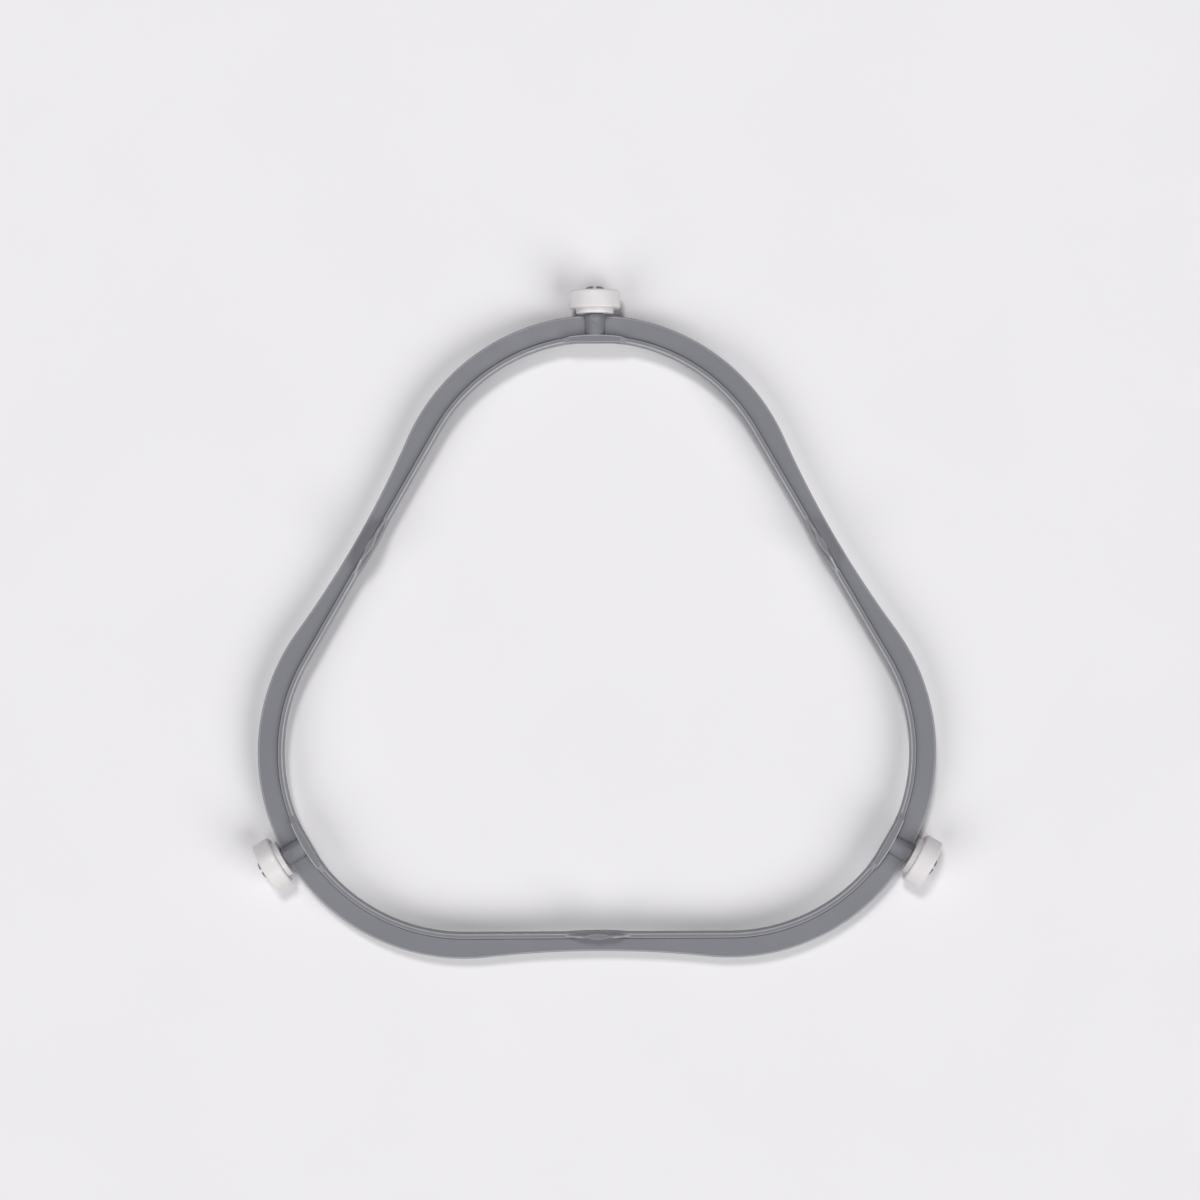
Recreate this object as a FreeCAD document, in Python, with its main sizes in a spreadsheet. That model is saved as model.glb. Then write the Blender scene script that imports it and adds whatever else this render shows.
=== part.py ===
import FreeCAD, Part
import os
from enum import IntEnum
from math import asin, atan2, cos, degrees, hypot, radians, sin

import Sketcher
from FreeCAD import Placement, Rotation, Vector

# Roller ring for a microwave turntable: one three-lobed moulding with three rollers on its snap axles.
# The origin is the ring's centre on the oven floor, +Y runs out through the back roller, and +Z is up.

UP = Vector(0, 0, 1)
CORNER_COUNT = 3
CORNER_STEP = 360 / CORNER_COUNT
BACK_CORNER = 90
CORNER_ANGLES = [BACK_CORNER + step * CORNER_STEP for step in range(CORNER_COUNT)]
ROLLER_NAMES = ("roller_back", "roller_left", "roller_right")


class Spot(IntEnum):
    """Numbers by which a sketch knows the points of its lines and arcs."""

    START = 1
    END = 2
    CENTRE = 3


class Axis(IntEnum):
    """Numbers by which a sketch knows its own axes, which both start at its origin."""

    ACROSS = -1
    UP = -2


START, END, CENTRE = Spot
ORIGIN = (Axis.ACROSS, START)

# How near two lengths are when they count as the same
SAME = 1e-5

# Driving dimensions in millimetres: name, value, meaning
SIZES = (
    ("corner_offset", 45.0, "ring centre to the centre of a corner's arcs"),
    ("flange_width", 5.95, "flange outside the wall, round a corner"),
    ("waist_dip", 2.1, "flange edge in from a straight side, at mid-side"),
    ("flange_thickness", 1.5, "flat flange outside the wall"),
    ("flange_above_axle", 0.5, "flange top over the axle line"),
    ("flange_edge_radius", 0.5, "rounding of the flange's outer edge"),
    ("wall_corner_radius", 52.65, "foot of the wall's inner face round a corner"),
    ("wall_thickness", 1.8, "upright wall inside the flange, at its foot"),
    ("wall_skirt", 2.1, "wall below the flange top"),
    ("wall_lip", 1.2, "wall above the flange top"),
    ("wall_draft", 0.45, "wall's inner face sloping back towards its top"),
    ("wall_foot", 0.3, "upright strip below that slope"),
    ("wall_edge_radius", 0.3, "rounding of the wall's top edges"),
    ("land_length", 18.4, "taller stretch of wall behind each boss"),
    ("land_ramp", 1.8, "slope at each end of that stretch"),
    ("land_swell", 0.15, "that stretch standing out past the wall's outer face"),
    ("land_flat_length", 11.0, "flat inner face behind the boss"),
    ("boss_diameter", 6.0, "boss that carries an axle"),
    ("boss_cover", 0.1, "that stretch past the boss, above and below"),
    ("boss_overhang", 0.2, "boss past the flange edge"),
    ("pin_diameter", 4.4, "axle pin inside a roller"),
    ("head_diameter", 5.6, "snap head that keeps a roller on"),
    ("head_length", 1.65, "snap head along the axle"),
    ("head_taper", 0.45, "tapered nose of the snap head"),
    ("tip_diameter", 4.0, "end of the tapered nose"),
    ("split_width", 1.0, "slot between the two prongs of an axle"),
    ("split_start", 1.0, "boss end to the root of the slot"),
    ("end_play", 0.25, "roller's play along its axle, each way"),
    ("bore_clearance", 0.08, "roller's bore round its pin, all round"),
    ("roller_diameter", 15.0, "tread of a roller"),
    ("tread_width", 5.4, "tread along the axle"),
    ("tread_edge_radius", 0.7, "rounding of the tread's two edges"),
    ("hub_diameter", 10.9, "stepped hub on a roller's inner side"),
    ("hub_length", 1.4, "hub along the axle"),
    ("hub_edge_radius", 0.3, "rounding of the hub's edge"),
    ("head_recess_depth", 0.8, "recess for the snap head in a roller's outer face"),
    ("head_recess_clearance", 0.6, "recess round the snap head"),
    ("hump_length", 19.0, "foot of the hump in the middle of each side"),
    ("hump_top_length", 8.6, "level top of a hump"),
    ("hump_rise", 4.2, "hump over the wall top"),
    ("hump_blade_thickness", 0.6, "thin blade of a hump"),
    ("hump_blade_set", 0.375, "that blade in from the wall's outer face"),
    ("hump_pad_length", 8.2, "lens-shaped pad on a hump"),
    ("hump_pad_thickness", 1.8, "that pad at its middle"),
    ("hump_pad_set", 0.9, "pad's middle line outside the wall's inner face"),
    ("hump_swell", 0.4, "wall's inner face bulging in along a hump"),
)

# Places that follow from them
DERIVED = (
    ("axle_height", "roller_diameter / 2"),
    ("flange_top", "axle_height + flange_above_axle"),
    ("flange_under", "flange_top - flange_thickness"),
    ("wall_outer_radius", "wall_corner_radius + wall_thickness"),
    ("flange_corner_radius", "wall_outer_radius + flange_width"),
    ("flange_waist", "corner_offset / 2 + flange_corner_radius - waist_dip"),
    ("flange_side_centre", "(0.75 * corner_offset^2 + waist_dip * corner_offset - waist_dip^2) / (2 * waist_dip)"),
    ("flange_side_radius", "flange_side_centre - flange_waist"),
    ("wall_bottom", "flange_top - wall_skirt"),
    ("wall_top", "flange_top + wall_lip"),
    ("wall_height", "wall_skirt + wall_lip"),
    ("wall_slope_height", "wall_height - wall_foot"),
    ("wall_slope_angle", "atan(wall_draft / wall_slope_height) / 1 deg"),
    ("wall_middle_radius", "wall_corner_radius + wall_thickness / 2"),
    ("side_inner", "corner_offset / 2 + wall_corner_radius"),
    ("side_middle", "side_inner + wall_thickness / 2"),
    ("boss_radius", "boss_diameter / 2"),
    ("boss_root", "corner_offset + wall_middle_radius"),
    ("boss_end", "corner_offset + flange_corner_radius + boss_overhang"),
    ("land_outer_radius", "wall_outer_radius + land_swell"),
    ("land_top", "axle_height + boss_radius + boss_cover"),
    ("land_bottom", "axle_height - boss_radius - boss_cover"),
    ("land_height", "land_top - land_bottom"),
    ("land_foot", "wall_top - wall_edge_radius"),
    ("land_flat_half", "land_flat_length / 2"),
    ("land_flat", "corner_offset + sqrt(wall_corner_radius^2 - land_flat_half^2)"),
    ("land_half", "land_length / 2"),
    ("land_crest_half", "land_half - land_ramp"),
    ("hub_face", "boss_end + end_play"),
    ("hub_radius", "hub_diameter / 2"),
    ("tread_start", "hub_face + hub_length"),
    ("tread_end", "tread_start + tread_width"),
    ("tread_radius", "roller_diameter / 2"),
    ("recess_floor", "tread_end - head_recess_depth"),
    ("pin_radius", "pin_diameter / 2"),
    ("bore_radius", "pin_radius + bore_clearance"),
    ("head_radius", "head_diameter / 2"),
    ("recess_radius", "head_radius + head_recess_clearance"),
    ("head_shoulder", "recess_floor + end_play"),
    ("axle_tip", "head_shoulder + head_length"),
    ("head_nose", "axle_tip - head_taper"),
    ("tip_radius", "tip_diameter / 2"),
    ("split_half", "split_width / 2"),
    ("split_root", "boss_end + split_start"),
    ("split_mouth", "axle_tip + split_width"),
    ("hump_half", "hump_length / 2"),
    ("hump_crest_half", "hump_top_length / 2"),
    ("hump_top", "wall_top + hump_rise"),
    ("hump_height", "hump_top - wall_bottom"),
    ("blade_face", "side_inner + wall_thickness - hump_blade_set - hump_blade_thickness"),
    ("pad_half", "hump_pad_length / 2"),
    ("pad_line", "side_inner + hump_pad_set"),
    ("pad_arc_radius", "(pad_half^2 + hump_pad_thickness^2 / 4) / hump_pad_thickness"),
    ("swell_arc_radius", "(hump_half^2 + hump_swell^2) / (2 * hump_swell)"),
)

doc = FreeCAD.newDocument("roller_ring")
sheet = doc.addObject("Spreadsheet::Sheet", "Sizes")


def fill_sheet():
    """Writes every named size to the sheet, the driving ones as plain numbers."""
    rows = [(name, str(value), meaning) for name, value, meaning in SIZES]
    rows += [(name, "=" + formula, "follows from the sizes above") for name, formula in DERIVED]
    for row, (name, content, meaning) in enumerate(rows, start=1):
        sheet.set(f"A{row}", name)
        sheet.set(f"B{row}", content)
        sheet.set(f"C{row}", meaning)
        sheet.setAlias(f"B{row}", name)
    doc.recompute()


def size(name):
    """Number in a named cell; a minus sign turns it round and no name is zero."""
    if not name:
        return 0
    if name.startswith("-"):
        return -sheet.get(name[1:])
    return sheet.get(name)


def cell(name):
    """Expression for a named cell, with its minus sign if it has one."""
    if name.startswith("-"):
        return f"-Sizes.{name[1:]}"
    return f"Sizes.{name}"


def polar(distance, angle):
    """Point at a distance from the origin, in a direction in degrees."""
    return Vector(distance * cos(radians(angle)), distance * sin(radians(angle)), 0)


# Sketches

def origin_feature(body, role):
    """One of a body's own base planes or axes."""
    return next(feature for feature in body.Origin.OriginFeatures if feature.Role == role)


def new_sketch(body, label, plane, **offsets):
    """Sketch on a base plane of its body, moved along its own x, y or z by a named size."""
    sketch = body.newObject("Sketcher::SketchObject", label)
    sketch.AttachmentSupport = [(origin_feature(body, plane), "")]
    sketch.MapMode = "FlatFace"
    for direction, name in offsets.items():
        sketch.setExpression(f".AttachmentOffset.Base.{direction}", cell(name))
    return sketch


def relate(sketch, kind, *where):
    """Adds a relation without a number, such as a tangent, to a sketch."""
    sketch.addConstraint(Sketcher.Constraint(kind, *where))


def dimension(sketch, kind, where, value, expression):
    """Adds a dimension to a sketch and ties it to the sheet."""
    index = sketch.addConstraint(Sketcher.Constraint(kind, *where, value))
    name = f"{kind}_{index}"
    sketch.renameConstraint(index, name)
    sketch.setExpression(f"Constraints.{name}", expression)


def place_point(sketch, piece, point, across, up):
    """Ties a point of a line or arc to named distances from the sketch's origin; no name means on the axis."""
    for kind, axis, name in (("DistanceX", Axis.UP, across), ("DistanceY", Axis.ACROSS, up)):
        if name:
            dimension(sketch, kind, (*ORIGIN, piece, point), size(name), cell(name))
        else:
            relate(sketch, "PointOnObject", piece, point, axis)


def tie_radii(sketch, arcs, radius_name):
    """Gives arcs one named radius."""
    dimension(sketch, "Radius", arcs[:1], size(radius_name), cell(radius_name))
    for arc in arcs[1:]:
        relate(sketch, "Equal", arcs[0], arc)


def draw_polygon(sketch, corners):
    """Draws a closed outline of straight lines through corners given by named sizes."""
    places = [Vector(size(across), size(up), 0) for across, up in corners]
    lines = [sketch.addGeometry(Part.LineSegment(*ends)) for ends in zip(places, places[1:] + places[:1])]
    for line, following, corner in zip(lines, lines[1:] + lines[:1], corners):
        relate(sketch, "Coincident", line, END, following, START)
        place_point(sketch, line, START, *corner)


def close_arc(sketch, arc, corners):
    """Closes an arc with straight lines from its end, through corners given by named sizes, to its start."""
    places = [Vector(size(across), size(up), 0) for across, up in corners]
    places = [sketch.getPoint(arc, END), *places, sketch.getPoint(arc, START)]
    lines = [sketch.addGeometry(Part.LineSegment(*ends)) for ends in zip(places, places[1:])]
    relate(sketch, "Coincident", arc, END, lines[0], START)
    relate(sketch, "Coincident", arc, START, lines[-1], END)
    for line, following, corner in zip(lines, lines[1:], corners):
        relate(sketch, "Coincident", line, END, following, START)
        place_point(sketch, line, END, *corner)


def draw_line(sketch, first, first_point, second, second_point):
    """Draws a line between the ends of two pieces that are already there."""
    ends = (sketch.getPoint(first, first_point), sketch.getPoint(second, second_point))
    return sketch.addGeometry(Part.LineSegment(*ends))


def draw_arc(sketch, centre, radius, middle, half_sweep):
    """Draws an arc about a point, half a sweep to each side of a direction in degrees."""
    circle = Part.Circle(centre, UP, radius)
    return sketch.addGeometry(Part.ArcOfCircle(circle, radians(middle - half_sweep), radians(middle + half_sweep)))


def draw_corner_arcs(sketch, radius_name, half_sweep):
    """Draws the three equal corner arcs of an outline, each about a point out along its own corner."""
    offset = size("corner_offset")
    arcs = []
    for angle in CORNER_ANGLES:
        centre = polar(offset, angle)
        arc = draw_arc(sketch, centre, size(radius_name), angle, half_sweep)
        if angle == BACK_CORNER:
            place_point(sketch, arc, CENTRE, "", "corner_offset")
        else:
            where = (*ORIGIN, arc, CENTRE)
            dimension(sketch, "DistanceX", where, centre.x, f"Sizes.corner_offset * cos({angle} deg)")
            dimension(sketch, "DistanceY", where, centre.y, f"Sizes.corner_offset * sin({angle} deg)")
        arcs.append(arc)
    tie_radii(sketch, arcs, radius_name)
    return arcs


def draw_rounded_triangle(sketch, radius_name):
    """Draws an outline of the wall: three corner arcs joined by straight sides."""
    arcs = draw_corner_arcs(sketch, radius_name, CORNER_STEP / 2)
    for arc, following in zip(arcs, arcs[1:] + arcs[:1]):
        side = draw_line(sketch, arc, END, following, START)
        relate(sketch, "Tangent", arc, END, side, START)
        relate(sketch, "Tangent", side, END, following, START)


def draw_lobed_outline(sketch):
    """Draws the flange's edge: three corner arcs joined by sides that curve gently inwards."""
    side_centre = size("flange_side_centre")
    lobe = polar(size("corner_offset"), CORNER_STEP / 2)
    side_half = degrees(atan2(lobe.y, side_centre - lobe.x))
    arcs = draw_corner_arcs(sketch, "flange_corner_radius", CORNER_STEP / 2 + side_half)
    sides = []
    for arc, following, angle in zip(arcs, arcs[1:] + arcs[:1], CORNER_ANGLES):
        outward = angle + CORNER_STEP / 2
        centre = polar(side_centre, outward)
        side = draw_arc(sketch, centre, size("flange_side_radius"), outward + 180, side_half)
        relate(sketch, "Tangent", side, END, arc, END)
        relate(sketch, "Tangent", side, START, following, START)
        sides.append(side)
    tie_radii(sketch, sides, "flange_side_radius")


# Features

def pad(body, sketch, height_name):
    """Raises a sketch by a named height."""
    feature = body.newObject("PartDesign::Pad", f"{sketch.Name}_pad")
    feature.Profile = sketch
    feature.setExpression("Length", cell(height_name))
    doc.recompute()
    return feature


def cut_through(body, sketch, side_type):
    """Cuts a sketch right through its body, and makes sure that something was cut."""
    before = body.Shape.Volume
    feature = body.newObject("PartDesign::Pocket", f"{sketch.Name}_cut")
    feature.Profile = sketch
    feature.Type = "ThroughAll"
    feature.SideType = side_type
    doc.recompute()
    if feature.Shape.Volume > before - SAME:
        raise RuntimeError(f"{feature.Label} cuts nothing")
    return feature


def turn(body, sketch):
    """Turns a half profile all the way round the sketch's own x axis."""
    feature = body.newObject("PartDesign::Revolution", f"{sketch.Name}_turned")
    feature.Profile = sketch
    feature.ReferenceAxis = (sketch, ["H_Axis"])
    feature.Angle = 360
    doc.recompute()
    return feature


def round_edges(body, base, label, radius_name, wanted):
    """Rounds the edges of a feature that pass a test."""
    names = [f"Edge{number}" for number, edge in enumerate(base.Shape.Edges, start=1) if wanted(edge)]
    feature = body.newObject("PartDesign::Fillet", label)
    feature.Base = (base, names)
    feature.setExpression("Radius", cell(radius_name))
    doc.recompute()
    return feature


def slope_edges(body, base, label, across_name, down_name, wanted):
    """Slopes the edges of a feature that pass a test, by one named distance across and one down."""
    names = [f"Edge{number}" for number, edge in enumerate(base.Shape.Edges, start=1) if wanted(edge)]
    feature = body.newObject("PartDesign::Chamfer", label)
    feature.Base = (base, names)
    feature.ChamferType = "Two distances"
    feature.setExpression("Size", cell(across_name))
    feature.setExpression("Size2", cell(down_name))
    doc.recompute()
    return feature


def has_radius(edge, *names):
    """Whether an edge is round, with one of the named radii."""
    radius = getattr(edge.Curve, "Radius", 0)
    return any(abs(radius - size(name)) < SAME for name in names)


def is_off_axis(edge, name):
    """Whether the middle of an edge lies at a named distance from the ring's axis."""
    centre = edge.BoundBox.Center
    return abs(hypot(centre.x, centre.y) - size(name)) < SAME


def is_level_at(edge, name):
    """Whether an edge lies flat at a named height."""
    heights = (edge.BoundBox.ZMin, edge.BoundBox.ZMax)
    return all(abs(height - size(name)) < SAME for height in heights)


# The moulded ring

def ring_section(ring):
    """Flange and upright wall, with their edges rounded."""
    flange = new_sketch(ring, "flange", "XY_Plane", z="flange_under")
    draw_lobed_outline(flange)
    draw_rounded_triangle(flange, "wall_middle_radius")
    plate = pad(ring, flange, "flange_thickness")
    round_edges(ring, plate, "flange_edges", "flange_edge_radius",
                lambda edge: has_radius(edge, "flange_corner_radius", "flange_side_radius"))
    wall = new_sketch(ring, "wall", "XY_Plane", z="wall_bottom")
    draw_rounded_triangle(wall, "wall_corner_radius")
    draw_rounded_triangle(wall, "wall_outer_radius")
    upright = pad(ring, wall, "wall_height")
    sloped = slope_edges(ring, upright, "wall_slope", "wall_draft", "wall_slope_height",
                         lambda edge: is_level_at(edge, "wall_top") and is_inside_wall(edge))
    round_edges(ring, sloped, "wall_edges", "wall_edge_radius", lambda edge: is_level_at(edge, "wall_top"))


def is_inside_wall(edge):
    """Whether an edge lies along the wall's inner face."""
    return has_radius(edge, "wall_corner_radius") or is_off_axis(edge, "side_inner")


def corner_land(ring):
    """Taller and thicker stretch of wall behind the back boss, flat inside and sloped at both ends."""
    land = new_sketch(ring, "land", "XY_Plane", z="land_bottom")
    centre = polar(size("corner_offset"), BACK_CORNER)
    radius = size("land_outer_radius")
    outer = draw_arc(land, centre, radius, BACK_CORNER, degrees(asin(size("land_half") / radius)))
    place_point(land, outer, CENTRE, "", "corner_offset")
    tie_radii(land, [outer], "land_outer_radius")
    for point, half_name in ((START, "land_half"), (END, "-land_half")):
        dimension(land, "DistanceX", (*ORIGIN, outer, point), size(half_name), cell(half_name))
    close_arc(land, outer, (("-land_half", "land_flat"), ("land_half", "land_flat")))
    block = pad(ring, land, "land_height")
    ramps = new_sketch(ring, "land_ramps", "XZ_Plane")
    for sign in ("", "-"):
        for end, foot in (("land_top", "land_foot"), ("land_bottom", "wall_bottom")):
            draw_polygon(ramps, ((f"{sign}land_crest_half", end),
                                 (f"{sign}land_half", foot),
                                 (f"{sign}land_half", end)))
    return [block, cut_through(ring, ramps, "One side")]


def back_axle(ring):
    """Boss, pin and snap head as one turned profile, split into two prongs."""
    axle = new_sketch(ring, "axle", "YZ_Plane", y="axle_height")
    draw_polygon(axle, (("boss_root", ""),
                        ("axle_tip", ""),
                        ("axle_tip", "tip_radius"),
                        ("head_nose", "head_radius"),
                        ("head_shoulder", "head_radius"),
                        ("head_shoulder", "pin_radius"),
                        ("boss_end", "pin_radius"),
                        ("boss_end", "boss_radius"),
                        ("boss_root", "boss_radius")))
    spindle = turn(ring, axle)
    split = new_sketch(ring, "split", "XY_Plane", z="axle_height")
    draw_polygon(split, (("-split_half", "split_root"),
                         ("split_half", "split_root"),
                         ("split_half", "split_mouth"),
                         ("-split_half", "split_mouth")))
    return [spindle, cut_through(ring, split, "Symmetric")]


def front_hump(ring):
    """Hump in the middle of the front side: swollen wall, sloped blade and lens-shaped pad."""
    swell = new_sketch(ring, "hump_swell", "XY_Plane", z="wall_bottom")
    radius = size("swell_arc_radius")
    centre = Vector(0, size("hump_swell") - size("side_inner") - radius, 0)
    bulge = draw_arc(swell, centre, radius, 90, degrees(asin(size("hump_half") / radius)))
    tie_radii(swell, [bulge], "swell_arc_radius")
    place_point(swell, bulge, START, "hump_half", "-side_inner")
    place_point(swell, bulge, END, "-hump_half", "-side_inner")
    close_arc(swell, bulge, (("-hump_half", "-side_middle"), ("hump_half", "-side_middle")))
    swollen = pad(ring, swell, "wall_height")
    swollen.setExpression("TaperAngle", cell("-wall_slope_angle"))
    blade = new_sketch(ring, "hump_blade", "XZ_Plane", z="blade_face")
    draw_polygon(blade, (("-hump_half", "flange_top"),
                         ("hump_half", "flange_top"),
                         ("hump_half", "wall_top"),
                         ("hump_crest_half", "hump_top"),
                         ("-hump_crest_half", "hump_top"),
                         ("-hump_half", "wall_top")))
    ridge = pad(ring, blade, "hump_blade_thickness")
    lens = new_sketch(ring, "hump_lens", "XY_Plane", z="wall_bottom")
    radius = size("pad_arc_radius")
    depth = radius - size("hump_pad_thickness") / 2
    half_sweep = degrees(asin(size("pad_half") / radius))
    inner = draw_arc(lens, Vector(0, -size("pad_line") - depth, 0), radius, 90, half_sweep)
    outer = draw_arc(lens, Vector(0, -size("pad_line") + depth, 0), radius, 270, half_sweep)
    tie_radii(lens, [inner, outer], "pad_arc_radius")
    place_point(lens, inner, START, "pad_half", "-pad_line")
    place_point(lens, inner, END, "-pad_half", "-pad_line")
    relate(lens, "Coincident", inner, END, outer, START)
    relate(lens, "Coincident", outer, END, inner, START)
    return [swollen, ridge, pad(ring, lens, "hump_height")]


def make_ring():
    """The whole moulding: one corner and one side are modelled, then repeated round the ring."""
    ring = doc.addObject("PartDesign::Body", "support_ring")
    ring.Label = "support_ring"
    ring_section(ring)
    features = corner_land(ring) + back_axle(ring) + front_hump(ring)
    thirds = ring.newObject("PartDesign::PolarPattern", "thirds")
    thirds.Originals = features
    thirds.Axis = (origin_feature(ring, "Z_Axis"), [""])
    thirds.Angle = 360
    thirds.Occurrences = CORNER_COUNT
    ring.Tip = thirds
    doc.recompute()
    return ring


# The rollers

def make_roller(label, angle):
    """A roller turned from one half profile on the back axle, then swung round to its own corner."""
    roller = doc.addObject("PartDesign::Body", label)
    roller.Label = label
    profile = new_sketch(roller, f"{label}_profile", "YZ_Plane", y="axle_height")
    draw_polygon(profile, (("hub_face", "bore_radius"),
                           ("recess_floor", "bore_radius"),
                           ("recess_floor", "recess_radius"),
                           ("tread_end", "recess_radius"),
                           ("tread_end", "tread_radius"),
                           ("tread_start", "tread_radius"),
                           ("tread_start", "hub_radius"),
                           ("hub_face", "hub_radius")))
    wheel = turn(roller, profile)
    tread = round_edges(roller, wheel, f"{label}_tread_edges", "tread_edge_radius",
                        lambda edge: has_radius(edge, "tread_radius"))
    round_edges(roller, tread, f"{label}_hub_edge", "hub_edge_radius",
                lambda edge: has_radius(edge, "hub_radius") and is_outer_hub_edge(edge))
    roller.Placement = Placement(Vector(), Rotation(UP, angle - BACK_CORNER))
    return roller


def is_outer_hub_edge(edge):
    """Whether an edge of a roller, still on the back axle, lies in the hub's end face."""
    return abs(edge.BoundBox.Center.y - size("hub_face")) < SAME


# Tests and files

def test_document(pieces):
    """Stops if an object failed, a sketch is loose or a piece isn't one sound solid."""
    doc.recompute()
    for item in doc.Objects:
        if {"Invalid", "Error"} & set(item.State):
            raise RuntimeError(f"{item.Label} failed: {item.State}")
        if item.isDerivedFrom("Sketcher::SketchObject") and not item.FullyConstrained:
            raise RuntimeError(f"{item.Label} is not fully dimensioned")
    for piece in pieces:
        if piece.Shape.isNull() or not piece.Shape.isValid() or len(piece.Shape.Solids) != 1:
            raise RuntimeError(f"{piece.Label} is not one sound solid")


def write_pieces(pieces):
    """Writes each piece to a file named after it."""
    os.makedirs("parts", exist_ok=True)
    for piece in pieces:
        piece.Shape.exportStep(f"parts/{piece.Label}.step")
        print(f"{piece.Label}: {piece.Shape.Volume:.1f} mm3, {piece.Shape.BoundBox}")


fill_sheet()
ring = make_ring()
rollers = [make_roller(label, angle) for label, angle in zip(ROLLER_NAMES, CORNER_ANGLES)]
test_document([ring, *rollers])
write_pieces([ring, *rollers])
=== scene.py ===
"""Dresses a microwave turntable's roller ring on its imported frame.

All lengths are in metres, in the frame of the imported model: the origin is the ring's centre on the
floor, +Y runs out through the back roller and +Z is up.
"""

import logging
from collections.abc import Callable, Sequence
from dataclasses import dataclass
from enum import Enum
from math import atan2, cos, pi, radians, sin, sqrt, tau

import bmesh
import bpy
from mathutils import Matrix, Vector


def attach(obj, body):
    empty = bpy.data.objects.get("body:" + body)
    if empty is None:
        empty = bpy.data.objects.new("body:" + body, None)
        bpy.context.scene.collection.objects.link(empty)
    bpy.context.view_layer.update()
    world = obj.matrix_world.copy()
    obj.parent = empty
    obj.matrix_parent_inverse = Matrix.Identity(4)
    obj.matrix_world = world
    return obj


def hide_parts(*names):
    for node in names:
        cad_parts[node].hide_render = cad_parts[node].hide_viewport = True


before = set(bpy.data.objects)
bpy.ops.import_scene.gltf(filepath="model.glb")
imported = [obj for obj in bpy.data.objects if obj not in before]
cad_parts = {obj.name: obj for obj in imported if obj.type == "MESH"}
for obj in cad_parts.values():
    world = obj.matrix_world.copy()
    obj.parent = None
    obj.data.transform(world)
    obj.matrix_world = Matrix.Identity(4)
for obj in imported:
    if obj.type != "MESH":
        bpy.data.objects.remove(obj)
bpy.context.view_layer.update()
LOG = logging.getLogger("roller_ring")

UP = Vector((0, 0, 1))
# How near two places are when they count as one
SAME = 5e-6
THIRD = tau / 3
# Part of a face's normal along a direction, from which the face counts as facing that way
FACING = 0.9
# Turn between two faces, from which an edge of the band or of an axle is rounded
BAND_SHARP = radians(40)
AXLE_SHARP = radians(20)
# Turn between two faces, from which an edge is shaded sharp
SHADE_SHARP = radians(32)
# Range that most values of a noise lie in
NOISE_LOW = 0.3
NOISE_HIGH = 0.7
# Size of the plane that is merged into the first point of an outline
SEED_SIZE = 0.001

Element = bmesh.types.BMVert | bmesh.types.BMEdge | bmesh.types.BMFace
Colour = tuple[float, float, float]


class Pick(Enum):
    """What a selection is made of."""

    POINTS = "VERT"
    EDGES = "EDGE"
    FACES = "FACE"


class Mark(Enum):
    """Marks on the faces of a piece, which its finish reads as attributes."""

    # Painted light: marked faces are made paler to stand in for highlights, reflections and fill light
    WORN = "worn"
    SHADED = "shaded"


class Slope(Enum):
    """Kinds of sloping faces: the range of the upward part of their normals."""

    RAMP = (0.5, 0.985)
    RIM = (0.7, 0.999)
    INNER_FACE = (0.05, 0.3)

    def fits(self, face: bmesh.types.BMFace) -> bool:
        """Whether a face slopes in this way."""
        low, high = self.value
        return low < face.normal.z < high


class Combine(Enum):
    """How a second solid changes the first one."""

    ADD = "UNION"
    CUT = "DIFFERENCE"


class Corner(Enum):
    """The three corners of the ring: body of the roller, its CAD node and the turn from the back corner."""

    BACK = ("back_wheel", "roller_back", 0.0)
    LEFT = ("left_wheel", "roller_left", THIRD)
    RIGHT = ("right_wheel", "roller_right", 2 * THIRD)

    @property
    def body(self) -> str:
        """Name of the body that the corner's roller is."""
        return self.value[0]

    @property
    def node(self) -> str:
        """Name of the corner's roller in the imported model."""
        return self.value[1]

    @property
    def turn(self) -> float:
        """Turn about the ring's axis from the back corner."""
        return self.value[2]


@dataclass(frozen=True)
class Rounding:
    """How edges or corners are rounded: how far it reaches, and in how many facets."""

    radius: float
    facets: int


@dataclass(frozen=True)
class PaintedLightLevels:
    """How strongly light is painted onto places of the moulding, as a paler colour, up to 1: painted
    highlights on edges, ramps and rim, painted fill light on shaded ledges and a painted reflection on the
    inner face.
    """

    crest: float = 1.0
    faint_crest: float = 0.45
    hump_edge: float = 0.4
    hump_ramp: float = 0.8
    land_ramp: float = 0.35
    ledge: float = 0.6
    inner_face: float = 0.25
    rim: float = 0.5


def polar(distance: float, angle: float, height: float = 0.0) -> Vector:
    """Point at a distance from the ring's axis, in a direction in radians.

    Args:
        distance: distance from the axis.
        angle: direction, counted from +X towards +Y.
        height: height over the floor.

    Returns:
        The point.
    """
    return Matrix.Rotation(angle, 3, "Z") @ Vector((distance, 0, height))


def spread(start: float, end: float, steps: int) -> list[float]:
    """Places spread evenly from a start, which is left out, to an end.

    Args:
        start: where the spread begins.
        end: last place.
        steps: how many places there are.

    Returns:
        The places in order.
    """
    return [start + (end - start) * step / steps for step in range(1, steps + 1)]


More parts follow.
